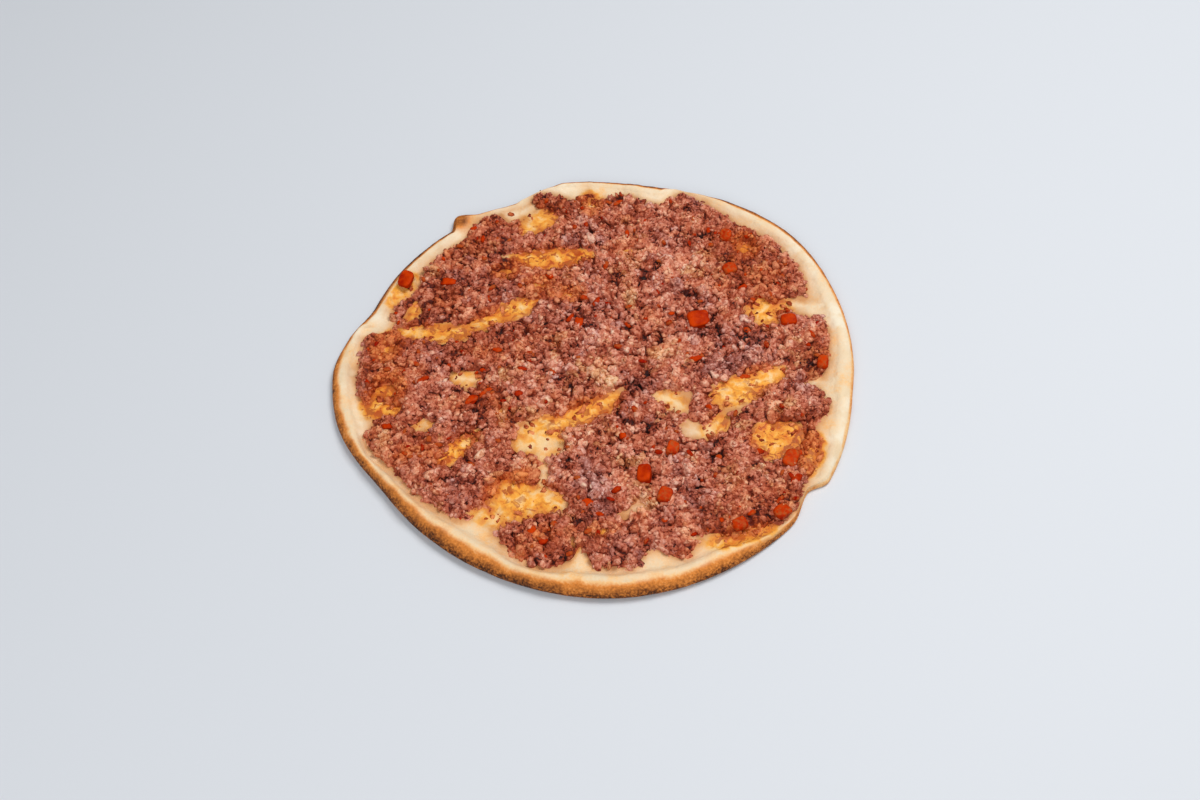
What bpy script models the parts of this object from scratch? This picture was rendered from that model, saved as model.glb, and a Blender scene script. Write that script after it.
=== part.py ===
"""Thin open meat pie: a baked flatbread with a browned rim, a pressed layer of minced meat
with bare patches in it, and diced tomato set into the meat.

The bread lies flat on Z = 0. X runs to the right and Y away from the front, where the rim is
thickest. The origin is under the middle of the bread.
"""

import math

import bmesh
import bpy
import numpy as np
from mathutils import Vector
from mathutils.geometry import delaunay_2d_cdt

MM = 0.001

# Bread
PAN_TOP = 4.0 * MM          # bread thickness under the meat
BREAD_STEPS = 150           # points round the bread
EDGE_LIFT = 3.4 * MM        # how far in the rounded underside meets the table
BREAD_REACH = (             # degrees, millimetres from the middle to the outer edge
    (0, 122.5), (20, 126), (38, 129), (55, 126), (66, 122), (80, 120.5), (95, 121), (101, 118.5),
    (110, 114), (119, 116), (124, 121), (128, 114.5), (145, 115), (158, 114.5), (168, 120),
    (178, 124), (190, 123), (215, 115), (245, 116.5), (280, 120.5), (314, 121), (323, 116.5),
    (328, 122), (350, 121),
)
RIM_WIDTH = (               # degrees, millimetres of raised rim, inwards from the outer edge
    (0, 11), (45, 10), (70, 9), (100, 5), (118, 7), (150, 9), (180, 10), (205, 11), (230, 13),
    (250, 13), (275, 12), (300, 11), (314, 6), (323, 4), (332, 8), (345, 11),
)
RIM_RISE = (                # degrees, millimetres from the pan up to the rim's crest
    (0, 1.4), (45, 1.3), (90, 1.0), (110, 0.8), (150, 1.2), (180, 2.2), (205, 3.4), (235, 4.2),
    (265, 4.2), (290, 3.6), (305, 2.4), (318, 0.6), (335, 0.9),
)
RIM_PROFILE = (             # share of the rim's width from the edge, share of the crest's rise
    (1.00, 0.00), (0.84, 0.30), (0.70, 0.78), (0.55, 1.00), (0.38, 0.92),
)
OUTER_PROFILE = (           # share of the rim's width from the edge, share of the crest's height
    (0.20, 0.84), (0.07, 0.62), (0.00, 0.40), (0.04, 0.18),
)
RIM_WAVE = 0.35 * MM        # uneven height along the crest
RIM_WAVES = (7, 13, 23)     # how many times each wave goes round
BLISTER = 0.8 * MM          # height of the bread's swelling in a bare patch
BLISTER_SPACING = 4.5 * MM
BLISTER_SHARE = 0.8         # share of a patch's size that the swelling takes up
BLISTER_FROM_EDGE = 14 * MM
FULL_BLISTER_WIDTH = 16     # millimetres of patch width that give a blister its full height

# Minced meat
MEAT_GAP = 0.3 * MM         # clearance between the bread and what lies on it
MEAT_EDGE = 1.3 * MM        # height of the meat's outline above its underside
MEAT_DEPTH = 3.0 * MM       # depth of the layer away from its outline
SHOULDER = 4.5 * MM         # how far in from its outline the layer reaches that depth
MEAT_SPACING = 3.7 * MM     # distance between the surface's points
OUTLINE_SPACING = 3.0 * MM
LUMP_SPACING = 5.6 * MM     # distance between lumps of mince
LUMP_RADIUS = (3.0 * MM, 4.6 * MM)
LUMP_HEIGHT = (0.9 * MM, 2.6 * MM)
MEAT_REACH = (              # degrees, millimetres from the middle to the meat's outline
    (0, 110), (10, 114), (20, 112), (26, 116), (36, 118), (50, 115), (66, 119), (71, 107.5),
    (80, 111), (87, 108), (90, 113), (93, 107.5), (103, 115.5), (108, 107), (120, 110.5),
    (128, 104), (140, 105), (150, 100), (157, 105), (162, 101), (165, 101.5), (168, 112.5),
    (181, 112.5), (194, 107), (199, 112), (208, 107.5), (232, 101), (237, 93), (243, 100),
    (256, 108), (262, 104), (265, 96), (268, 105), (277, 107.5), (283, 100.5), (289, 109),
    (297, 103.5), (303, 111), (317, 118), (325, 114), (335, 112.5), (339.5, 107), (346, 111),
    (352, 105.5),
)
LEAST_RIM = 1.2 * MM        # bread left outside the meat where the two outlines meet
FOOT_CLEARANCE = 0.8 * MM   # between the meat and the foot of the rim
LEAST_FOOT = 1.5 * MM       # width that is left to the rim where the meat reaches the edge
FULL_RISE_ROOM = 6.0 * MM   # bread outside the meat beyond which the rim has its full height

# Bare patches: x, y, length and width in millimetres, and turn in degrees
BARE_PATCHES = (
    (-19, 69, 40, 11, 0), (-76, 25, 34, 8, -2), (-43, 35, 38, 9, 27), (-28, 93, 22, 13, 32),
    (-35, 100, 20, 10, 15), (-27, -38, 20, 24, 0), (-6, -25, 38, 11, 27), (-25, -57, 6, 14, 0),
    (-34, -71, 34, 19, 0), (-49, -79, 18, 9, -25), (71, -13, 40, 15, 24), (35, -19, 17, 11, -32),
    (45, -37, 14, 9, -20), (54, -35, 14, 8, 40), (82, -43, 24, 19, 12), (82, 30, 15, 17, 25),
    (99, 32, 34, 8, -3), (-61, -3, 14, 8, -8), (-64, -42, 24, 8, 40), (-81, -27, 13, 9, 30),
    (104, -12, 10, 7, 0), (-87, 38, 4, 12, -20),
)
PATCH_WOBBLE = 0.10         # share of a patch's size by which its outline goes in and out

# Tomato dice: x, y, length, width and thickness in millimetres, then turn and tilt in degrees
TOMATO_DICE = (
    (50.5, 25.0, 11.5, 9.5, 5.0, 8, 8), (93.5, 22.5, 8.5, 6.5, 5.0, 5, 10),
    (20.5, -61.0, 10.5, 7.0, 5.0, 86, -8), (29.0, -72.5, 8.5, 7.0, 4.6, 70, 9),
    (80.0, -83.0, 8.5, 7.5, 4.4, 40, -9), (68.0, 55.5, 7.5, 6.5, 4.6, 20, 10),
    (67.5, 77.0, 8.0, 6.5, 4.6, 75, -8), (86.5, -55.5, 10.5, 7.5, 4.4, 65, 7),
    (34.0, -48.0, 8.0, 6.0, 4.6, 75, 12), (61.0, -88.5, 7.5, 6.5, 4.4, 25, 8),
    (107.0, -3.0, 8.0, 6.0, 4.2, 80, -8),
)
EDGE_TOMATO = (-91.0, 56.5, 10.5, 7.5, 3.8, 75, 0)   # lies on the rim
DICE_SUNK = 0.62            # share of a die's thickness that is set into the meat
DICE_ROUNDING = 1.1 * MM
DICE_SKEW = 0.14            # how far a cut face may lean, as a share of the die's size


def through(pairs):
    """A smooth closed curve through (degrees, millimetres) pairs: angle in radians to metres.

    It is a cubic between neighbouring pairs and never goes beyond them, because its slope at a
    pair is the harmonic mean of the slopes on both sides, or zero at a peak or a dip.
    """
    turn = 2 * math.pi
    knots = np.radians([p[0] for p in pairs])
    values = np.array([p[1] for p in pairs]) * MM
    knots = np.concatenate([knots[-2:] - turn, knots, knots[:2] + turn])
    values = np.concatenate([values[-2:], values, values[:2]])
    rise = np.diff(values) / np.diff(knots)
    both = rise[1:] * rise[:-1]
    total = np.where(both > 0, rise[1:] + rise[:-1], 1)
    slopes = np.concatenate([[0], np.where(both > 0, 2 * both / total, 0), [0]])

    def curve(angle):
        a = np.mod(angle, turn)
        i = np.clip(np.searchsorted(knots, a, side="right") - 1, 1, len(knots) - 3)
        span = knots[i + 1] - knots[i]
        t = (a - knots[i]) / span
        start = (1 + 2 * t) * (1 - t) ** 2 * values[i] + t * (1 - t) ** 2 * span * slopes[i]
        end = t * t * (3 - 2 * t) * values[i + 1] + t * t * (t - 1) * span * slopes[i + 1]
        return start + end

    return curve


bread_reach = through(BREAD_REACH)
rim_width = through(RIM_WIDTH)
rim_rise = through(RIM_RISE)
raw_meat_reach = through(MEAT_REACH)


def meat_reach(angle):
    """The meat's outline, kept inside the bread's."""
    return np.minimum(raw_meat_reach(angle), bread_reach(angle) - LEAST_RIM)


def meat_near(angle):
    """The furthest that the meat reaches within a bread step either side of an angle."""
    step = 2 * math.pi / BREAD_STEPS
    return np.max([meat_reach(angle + k * step) for k in (-1, -0.5, 0, 0.5, 1)], axis=0)


def outline_centre():
    """Middle of the box round the bread's outline, which becomes the origin."""
    a = np.linspace(0, 2 * math.pi, BREAD_STEPS, endpoint=False)
    x, y = bread_reach(a) * np.cos(a), bread_reach(a) * np.sin(a)
    return np.array([(x.min() + x.max()) / 2, (y.min() + y.max()) / 2])


CENTRE = outline_centre()


def placed(x, y):
    """A place given in millimetres on the plan, as a point about the origin in metres."""
    return np.array([x, y]) * MM - CENTRE


def patch_frame(patch, points):
    """Each point's place in a patch's own axes, as shares of its half length and half width."""
    x, y, length, width, turn = patch
    c, s = math.cos(math.radians(turn)), math.sin(math.radians(turn))
    d = points - placed(x, y)
    return np.stack([(d[:, 0] * c + d[:, 1] * s) / (length * MM / 2),
                     (d[:, 1] * c - d[:, 0] * s) / (width * MM / 2)], axis=1)


def wobble(patch, angle):
    """How far a patch's outline is out at an angle of its own, as a share of its size."""
    phase = patch[0] + patch[1]
    return 1 + PATCH_WOBBLE * (np.sin(3 * angle + phase) + 0.6 * np.sin(5 * angle - phase))


def patch_outline(patch):
    """Points round a patch, a fixed distance apart."""
    x, y, length, width, turn = patch
    count = max(8, round(math.pi * (length + width) / 2 * MM / OUTLINE_SPACING))
    a = np.linspace(0, 2 * math.pi, count, endpoint=False)
    u = wobble(patch, a) * np.cos(a) * length * MM / 2
    v = wobble(patch, a) * np.sin(a) * width * MM / 2
    c, s = math.cos(math.radians(turn)), math.sin(math.radians(turn))
    return placed(x, y) + np.stack([u * c - v * s, u * s + v * c], axis=1)


def in_patch(points):
    """Which points lie in a bare patch."""
    found = np.zeros(len(points), bool)
    for patch in BARE_PATCHES:
        q = patch_frame(patch, points)
        found |= np.hypot(q[:, 0], q[:, 1]) < wobble(patch, np.arctan2(q[:, 1], q[:, 0]))
    return found


def in_meat(points):
    """Which points lie inside the meat's outline and outside its bare patches."""
    d = points + CENTRE
    inside = np.hypot(d[:, 0], d[:, 1]) < meat_reach(np.arctan2(d[:, 1], d[:, 0]))
    return inside & ~in_patch(points)


def lattice(spacing, low, high):
    """Points of a triangular lattice over a rectangle."""
    rows = []
    for k, y in enumerate(np.arange(low[1], high[1], spacing * math.sqrt(3) / 2)):
        x = np.arange(low[0] + spacing / 2 * (k % 2), high[0], spacing)
        rows.append(np.column_stack([x, np.full_like(x, y)]))
    return np.concatenate(rows)


def triangulated_edges(points, edges):
    """Points and triangles of the plane with every edge kept, by constrained Delaunay."""
    result = delaunay_2d_cdt([Vector(p) for p in points], edges, [], 0, 1e-8)
    return np.array([tuple(p) for p in result[0]]), np.array([tuple(f) for f in result[2]])


def triangulated(loops, extra):
    """Points and triangles of the plane with every loop kept as edges."""
    edges, first = [], 0
    for loop in loops:
        edges += [(first + i, first + (i + 1) % len(loop)) for i in range(len(loop))]
        first += len(loop)
    return triangulated_edges(np.concatenate(list(loops) + ([extra] if len(extra) else [])), edges)


def distance_to(points, a, b):
    """Each point's distance to the nearest of the segments from a to b."""
    best = np.full(len(points), np.inf)
    for p, q in zip(a, b):
        d = q - p
        t = np.clip((points - p) @ d / (d @ d), 0, 1)
        best = np.minimum(best, np.hypot(*(points - p - t[:, None] * d).T))
    return best


def border(faces):
    """Directed edges that only one triangle has."""
    edges = np.concatenate([faces[:, [0, 1]], faces[:, [1, 2]], faces[:, [2, 0]]])
    there = set(map(tuple, edges))
    return np.array([e for e in map(tuple, edges) if (e[1], e[0]) not in there])


def new_object(name, points, faces, material):
    """A mesh object with outward faces, shaded smooth up to a sharp angle."""
    mesh = bpy.data.meshes.new(name)
    mesh.from_pydata([tuple(p) for p in points], [], [tuple(map(int, f)) for f in faces])
    bm = bmesh.new()
    bm.from_mesh(mesh)
    bmesh.ops.recalc_face_normals(bm, faces=bm.faces)
    bm.to_mesh(mesh)
    bm.free()
    mesh.shade_smooth()
    mesh.set_sharp_from_angle(angle=math.radians(50))
    mesh.materials.append(material)
    obj = bpy.data.objects.new(name, mesh)
    bpy.context.scene.collection.objects.link(obj)
    return obj


def finish(name, colour, roughness):
    """A plain non-metallic material."""
    material = bpy.data.materials.new(name)
    material.use_nodes = True
    shader = material.node_tree.nodes["Principled BSDF"]
    shader.inputs["Base Color"].default_value = (*colour, 1)
    shader.inputs["Roughness"].default_value = roughness
    shader.inputs["Metallic"].default_value = 0
    return material


def rim_rings():
    """Rings of points from the pan's edge over the rim to the table: arrays of x, y and z."""
    a = np.linspace(0, 2 * math.pi, BREAD_STEPS, endpoint=False)
    reach = bread_reach(a)
    spare = reach - meat_near(a)
    width = np.clip(spare - FOOT_CLEARANCE, LEAST_FOOT, rim_width(a))
    wave = RIM_WAVE * sum(np.sin(n * a + n) for n in RIM_WAVES) / len(RIM_WAVES)
    room = np.clip((spare - FOOT_CLEARANCE - LEAST_FOOT) / FULL_RISE_ROOM, 0, 1)
    rise = np.maximum(rim_rise(a) + wave, 0) * room
    crest = PAN_TOP + rise
    rings = [(reach - across * width, PAN_TOP + up * rise) for across, up in RIM_PROFILE]
    rings += [(reach - across * width, up * crest) for across, up in OUTER_PROFILE]
    rings.append((reach - EDGE_LIFT, np.zeros_like(reach)))
    return [np.stack([r * np.cos(a) - CENTRE[0], r * np.sin(a) - CENTRE[1], z], axis=1)
            for r, z in rings]


def blistered_patches():
    """The bare patches that lie wholly in the pan, clear of the rim."""
    kept = []
    for patch in BARE_PATCHES:
        d = patch_outline(patch) + CENTRE
        reach = bread_reach(np.arctan2(d[:, 1], d[:, 0]))
        if (np.hypot(d[:, 0], d[:, 1]) < reach - BLISTER_FROM_EDGE).all():
            kept.append(patch)
    return kept


def blister_height(points, patches):
    """Height of the bread's swelling at each point: a dome over the middle of each patch."""
    height = np.zeros(len(points))
    for patch in patches:
        q = patch_frame(patch, points)
        dome = np.maximum(0, 1 - (q ** 2).sum(axis=1) / BLISTER_SHARE ** 2)
        height = np.maximum(height, BLISTER * dome * min(1, patch[3] / FULL_BLISTER_WIDTH))
    return height


def make_bread(material):
    """The flatbread: a flat pan with low blisters in its bare patches, and a rim round it."""
    rings = rim_rings()
    points = list(np.concatenate(rings))
    faces = []
    for k in range(len(rings) - 1):
        for i in range(BREAD_STEPS):
            j = (i + 1) % BREAD_STEPS
            inner, outer = k * BREAD_STEPS, (k + 1) * BREAD_STEPS
            faces.append((inner + i, outer + i, outer + j, inner + j))

    pan_edge = rings[0][:, :2]
    patches = blistered_patches()
    swelling = lattice(BLISTER_SPACING, pan_edge.min(axis=0), pan_edge.max(axis=0))
    swelling = swelling[blister_height(swelling, patches) > 0]
    outlines = [patch_outline(p) for p in patches]
    for loop, lift in (([pan_edge] + outlines, True), ([rings[-1][:, :2]], False)):
        flat, triangles = triangulated(loop, swelling if lift else [])
        ring_start = 0 if lift else (len(rings) - 1) * BREAD_STEPS
        height = PAN_TOP + blister_height(flat, patches) if lift else np.zeros(len(flat))
        index = []
        for n, (p, z) in enumerate(zip(flat, height)):
            if n < BREAD_STEPS:
                index.append(ring_start + n)
            else:
                index.append(len(points))
                points.append(np.array([p[0], p[1], z]))
        middle = flat[triangles].mean(axis=1)
        kept = triangles[inside_edges(middle, loop[0], np.roll(loop[0], -1, axis=0))]
        faces += [tuple(index[v] for v in t) for t in kept]
    return new_object("bread", points, faces, material)


def lump_tops(points, rng):
    """Height that the lumps of mince add at each point: the highest dome that covers it."""
    seeds = lattice(LUMP_SPACING, points.min(axis=0), points.max(axis=0))
    seeds = seeds + rng.uniform(-0.3, 0.3, seeds.shape) * LUMP_SPACING
    radii = rng.uniform(*LUMP_RADIUS, len(seeds))
    heights = rng.uniform(*LUMP_HEIGHT, len(seeds))
    top = np.zeros(len(points))
    for seed, radius, height in zip(seeds, radii, heights):
        share = ((points - seed) ** 2).sum(axis=1) / radius ** 2
        top = np.maximum(top, height * (1 - share))
    return top


def make_meat(material):
    """The layer of minced meat: its outline and bare patches as walls, its top in lumps."""
    rng = np.random.default_rng(7)
    steps = round(2 * math.pi * 110 * MM / OUTLINE_SPACING)
    a = np.linspace(0, 2 * math.pi, steps, endpoint=False)
    outer = np.stack([meat_reach(a) * np.cos(a), meat_reach(a) * np.sin(a)], axis=1) - CENTRE
    loops = [outer] + [patch_outline(p) for p in BARE_PATCHES]
    starts = np.concatenate(loops)
    ends = np.concatenate([np.roll(loop, -1, axis=0) for loop in loops])

    inner = lattice(MEAT_SPACING, outer.min(axis=0), outer.max(axis=0))
    inner = inner + rng.uniform(-0.12, 0.12, inner.shape) * MEAT_SPACING
    inner = inner[in_meat(inner)]
    inner = inner[distance_to(inner, starts, ends) > MEAT_SPACING * 0.45]

    points, faces = triangulated(loops, inner)
    faces = largest_part(faces[in_meat(points[faces].mean(axis=1))])
    rim = border(faces)
    from_edge = distance_to(points, points[rim[:, 0]], points[rim[:, 1]])
    share = np.clip(from_edge / SHOULDER, 0, 1)
    rise = np.sqrt(share * (2 - share))
    height = MEAT_EDGE + (MEAT_DEPTH - MEAT_EDGE) * rise + lump_tops(points, rng) * rise
    underside = PAN_TOP + MEAT_GAP
    top = np.column_stack([points, underside + height])

    foot = np.unique(rim)
    place = {v: n for n, v in enumerate(foot)}
    edges = [(place[i], place[j]) for i, j in rim]
    low_points, low_faces = triangulated_edges(points[foot], edges)
    middles = low_points[low_faces].mean(axis=1)
    low_faces = low_faces[inside_edges(middles, points[rim[:, 0]], points[rim[:, 1]])]
    low = np.column_stack([points[foot], np.full(len(foot), underside)])
    first = len(top)
    shell = [tuple(f) for f in faces]
    shell += [tuple(f[::-1] + first) for f in low_faces]
    shell += [(j, i, first + place[i], first + place[j]) for i, j in rim]
    return new_object("minced_meat", np.concatenate([top, low]), shell, material)


def largest_part(faces):
    """The triangles of the largest part that hangs together by edges, so no crumb is loose."""
    beside = {}
    for n, (i, j, k) in enumerate(faces):
        for edge in ((i, j), (j, k), (k, i)):
            beside.setdefault(frozenset(edge), []).append(n)
    neighbours = [set() for _ in faces]
    for pair in beside.values():
        if len(pair) == 2:
            neighbours[pair[0]].add(pair[1])
            neighbours[pair[1]].add(pair[0])
    left = set(range(len(faces)))
    largest = []
    while left:
        stack = [left.pop()]
        part = []
        while stack:
            n = stack.pop()
            part.append(n)
            found = neighbours[n] & left
            left -= found
            stack += found
        largest = max(largest, part, key=len)
    return faces[sorted(largest)]


def inside_edges(points, a, b):
    """Which points lie inside the closed loops that the edges from a to b make, by crossings."""
    x, y = points[:, 0, None], points[:, 1, None]
    spans = (a[:, 1] > y) != (b[:, 1] > y)
    rise = np.where(a[:, 1] == b[:, 1], 1, b[:, 1] - a[:, 1])
    crossing = a[:, 0] + (y - a[:, 1]) * (b[:, 0] - a[:, 0]) / rise
    return (spans & (x < crossing)).sum(axis=1) % 2 == 1


def die_mesh(name, die, number, grow, bottom, material):
    """One cut piece of tomato: a box with leaning faces and rounded edges."""
    x, y, length, width, thick, turn, tilt = die
    rng = np.random.default_rng(100 + number)
    half = np.array([length, width, thick]) * MM / 2 + grow
    bm = bmesh.new()
    bmesh.ops.create_cube(bm, size=2)
    for vertex in bm.verts:
        lean = 1 - rng.uniform(0, DICE_SKEW, 3)
        vertex.co = Vector(np.array(vertex.co) * half * lean)
    bmesh.ops.bevel(bm, geom=bm.edges[:], offset=DICE_ROUNDING, segments=2, profile=0.5,
                    affect="EDGES", clamp_overlap=True)
    bmesh.ops.triangulate(bm, faces=bm.faces[:])
    mesh = bpy.data.meshes.new(name)
    bm.to_mesh(mesh)
    bm.free()
    mesh.shade_smooth()
    mesh.materials.append(material)
    obj = bpy.data.objects.new(name, mesh)
    place = placed(x, y)
    obj.location = (place[0], place[1], bottom + thick * MM / 2)
    obj.rotation_euler = (math.radians(tilt), 0, math.radians(turn))
    return obj


def make_dice(meat, material):
    """The tomato dice, each in a pocket cut for it in the meat, and one on the bare bread."""
    pockets = bpy.data.collections.new("pockets")
    bpy.context.scene.collection.children.link(pockets)
    pocket_floor = PAN_TOP + 2 * MEAT_GAP
    surface = PAN_TOP + MEAT_GAP + MEAT_DEPTH + LUMP_HEIGHT[0]
    for number, die in enumerate(TOMATO_DICE, start=1):
        lean = abs(math.sin(math.radians(die[6]))) * die[3] * MM / 2
        bottom = max(surface - DICE_SUNK * die[4] * MM, pocket_floor + lean)
        obj = die_mesh(f"tomato_{number:02d}", die, number, 0, bottom, material)
        bpy.context.scene.collection.objects.link(obj)
        cutter = die_mesh(f"pocket_{number:02d}", die, number, 1.5 * MEAT_GAP, bottom, material)
        cutter.hide_render = True
        cutter.display_type = "WIRE"
        pockets.objects.link(cutter)
    last = len(TOMATO_DICE) + 1
    crest = float(rim_rise(math.atan2(EDGE_TOMATO[1], EDGE_TOMATO[0]))) + RIM_WAVE
    resting = PAN_TOP + crest + MEAT_GAP
    obj = die_mesh(f"tomato_{last:02d}", EDGE_TOMATO, last, 0, resting, material)
    bpy.context.scene.collection.objects.link(obj)
    cut = meat.modifiers.new("pockets", "BOOLEAN")
    cut.operation = "DIFFERENCE"
    cut.operand_type = "COLLECTION"
    cut.collection = pockets
    cut.solver = "EXACT"


def main():
    """Clears the scene and makes the bread, the meat and the tomato."""
    for obj in list(bpy.data.objects):
        bpy.data.objects.remove(obj, do_unlink=True)
    make_bread(finish("baked_dough", (0.78, 0.55, 0.30), 0.75))
    meat = make_meat(finish("cooked_mince", (0.30, 0.13, 0.10), 0.60))
    make_dice(meat, finish("cooked_tomato", (0.65, 0.09, 0.02), 0.35))


main()
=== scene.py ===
"""Looks of a thin open meat pie: baked crust, minced meat in grains, tomato dice, oil and crumbs.

Places are given on the pie's plan, in millimetres from the middle of the bread, as x to the right
and y away from the front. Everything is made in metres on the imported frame.
"""

import logging
import math
from collections.abc import Callable
from dataclasses import dataclass
from enum import Enum, auto

import bpy
import numpy as np
from bpy.types import Material, Node, NodeSocket as Socket, Object
from mathutils import Matrix, Vector


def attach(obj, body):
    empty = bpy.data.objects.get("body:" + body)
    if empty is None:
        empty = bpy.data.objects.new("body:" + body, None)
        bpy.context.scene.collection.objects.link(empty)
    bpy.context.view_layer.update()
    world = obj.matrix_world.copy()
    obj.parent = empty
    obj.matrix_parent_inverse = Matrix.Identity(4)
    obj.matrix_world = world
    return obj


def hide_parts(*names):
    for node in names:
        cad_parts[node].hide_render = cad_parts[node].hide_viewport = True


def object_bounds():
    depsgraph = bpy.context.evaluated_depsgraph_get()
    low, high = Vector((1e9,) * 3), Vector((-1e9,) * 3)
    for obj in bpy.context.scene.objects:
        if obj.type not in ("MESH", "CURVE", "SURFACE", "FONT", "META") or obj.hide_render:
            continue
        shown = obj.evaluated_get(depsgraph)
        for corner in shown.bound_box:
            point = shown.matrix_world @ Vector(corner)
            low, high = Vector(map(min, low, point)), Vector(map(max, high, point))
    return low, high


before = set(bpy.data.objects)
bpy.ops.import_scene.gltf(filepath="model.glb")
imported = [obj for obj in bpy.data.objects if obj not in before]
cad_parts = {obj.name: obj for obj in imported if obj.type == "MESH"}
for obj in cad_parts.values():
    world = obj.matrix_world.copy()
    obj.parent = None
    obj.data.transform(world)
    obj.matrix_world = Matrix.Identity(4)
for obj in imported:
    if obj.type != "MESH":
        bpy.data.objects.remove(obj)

LOG = logging.getLogger("meat_pie")
MM = 0.001
TURN = 2 * math.pi
TABLE = 4096
PRIMES = (73856093, 19349663, 83492791)
CAD_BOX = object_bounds()
Array = np.ndarray
Pair = tuple[float, float]
Triple = tuple[float, float, float]


# Tools for shapes

def table_place(lattice: Array) -> Array:
    """Each whole point's place in a table: its coordinates times primes, joined by exclusive or."""
    return np.bitwise_xor.reduce(lattice * PRIMES[:lattice.shape[-1]], axis=-1) & (TABLE - 1)


class Noise:
    """Smooth noise in space, from -1 to 1."""

    def __init__(self, seed: int) -> None:
        """Draws the table of random values."""
        self.table = np.random.default_rng(seed).uniform(-1, 1, TABLE)

    def layer(self, points: Array, size: float) -> Array:
        """One layer: random values at whole lattice points, blended by 3t^2 - 2t^3 on each axis.

        Args:
            points: Rows of x, y or x, y, z, in metres.
            size: Distance between lattice points, in metres.

        Returns:
            One value for each point.
        """
        p = points / size
        if p.shape[1] == 2:
            p = np.column_stack([p, np.full(len(p), 0.5)])
        low = np.floor(p).astype(np.int64)
        t = p - low
        t = t * t * (3 - 2 * t)
        total = np.zeros(len(p))
        for corner in np.ndindex(2, 2, 2):
            weight = np.prod(np.where(np.array(corner) == 1, t, 1 - t), axis=1)
            total += weight * self.table[table_place(low + corner)]
        return total

    def at(self, points: Array, size: float, layers: int = 2) -> Array:
        """Layers of noise, each half as large and half as strong as the one before."""
        total = sum(self.layer(points + 7.3 * k * size, size / 2 ** k) / 2 ** k for k in range(layers))
        return total / (2 - 2 ** (1 - layers))


class Cells:
    """Cells round scattered points, one to each square of a grid: lumps pressed together."""

    def __init__(self, seed: int, size: float) -> None:
        """Draws where each square's point lies and each cell's own value.

        Args:
            seed: The number that fixes the draw.
            size: Side of the grid's squares, in metres.
        """
        rng = np.random.default_rng(seed)
        self.size = size
        self.shake = rng.uniform(0.08, 0.92, (TABLE, 2))
        self.value = rng.uniform(0, 1, TABLE)

    def at(self, points: Array) -> tuple[Array, Array]:
        """How far each point is from its cell's border, and the cell's own value.

        Of the distances to the nine nearest squares' points, it is the second smallest less the
        smallest, over the grid's size.

        Args:
            points: Points on the plan, in metres.

        Returns:
            Room to the border, and the cell's value from 0 to 1.
        """
        p = points[:, :2] / self.size
        steps = np.array(list(np.ndindex(3, 3))) - 1
        squares = np.floor(p).astype(np.int64)[:, None] + steps
        place = table_place(squares)
        away = np.linalg.norm(squares + self.shake[place] - p[:, None], axis=-1)
        nearest = place[np.arange(len(p)), away.argmin(axis=1)]
        two = np.partition(away, 1, axis=1)
        return two[:, 1] - two[:, 0], self.value[nearest]


def ease(low: float | Array, high: float | Array, value: Array) -> Array:
    """A smooth step from 0 at low to 1 at high, by 3t^2 - 2t^3."""
    t = np.clip((value - low) / (high - low), 0, 1)
    return t * t * (3 - 2 * t)


class Curve:
    """A smooth closed curve through (degrees, value) pairs that never goes beyond them."""

    def __init__(self, *pairs: Pair) -> None:
        """Works out the slope at each pair.

        It is the harmonic mean of the slopes on both sides, or zero at a peak or a dip.

        Args:
            *pairs: Angle in degrees and value, in order round the circle.
        """
        knots = np.radians([p[0] for p in pairs])
        values = np.array([p[1] for p in pairs], float)
        self.knots = np.concatenate([knots[-2:] - TURN, knots, knots[:2] + TURN])
        self.values = np.concatenate([values[-2:], values, values[:2]])
        rise = np.diff(self.values) / np.diff(self.knots)
        both = rise[1:] * rise[:-1]
        total = np.where(both > 0, rise[1:] + rise[:-1], 1)
        self.slopes = np.concatenate([[0], np.where(both > 0, 2 * both / total, 0), [0]])

    def __call__(self, angle: Array) -> Array:
        """The cubic between the two neighbouring pairs.

        Args:
            angle: Angles in radians.

        Returns:
            One value for each angle.
        """
        a = np.mod(angle, TURN)
        i = np.clip(np.searchsorted(self.knots, a, side="right") - 1, 1, len(self.knots) - 3)
        span = self.knots[i + 1] - self.knots[i]
        t = (a - self.knots[i]) / span
        start = (1 + 2 * t) * (1 - t) ** 2 * self.values[i] + t * (1 - t) ** 2 * span * self.slopes[i]
        end = t * t * (3 - 2 * t) * self.values[i + 1] + t * t * (t - 1) * span * self.slopes[i + 1]
        return start + end


def spline_weights(knots: int, samples: int) -> Array:
    """Weights that carry a smooth Catmull-Rom curve through evenly counted knots.

    Args:
        knots: Number of points that the curve goes through.
        samples: Number of points wanted along it, both ends among them.

    Returns:
        An array of samples by knots: times the knots' values it gives the samples' values.
    """
    place = np.linspace(0, knots - 1, samples)
    first = np.clip(place.astype(int), 0, knots - 2)
    t = place - first
    shares = np.stack([-t + 2 * t ** 2 - t ** 3, 2 - 5 * t ** 2 + 3 * t ** 3,
                       t + 4 * t ** 2 - 3 * t ** 3, -t ** 2 + t ** 3]) / 2
    weights = np.zeros((samples, knots))
    rows = np.arange(samples)
    for step, share in zip((-1, 0, 1, 2), shares):
        np.add.at(weights, (rows, np.clip(first + step, 0, knots - 1)), share)
    return weights


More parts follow.
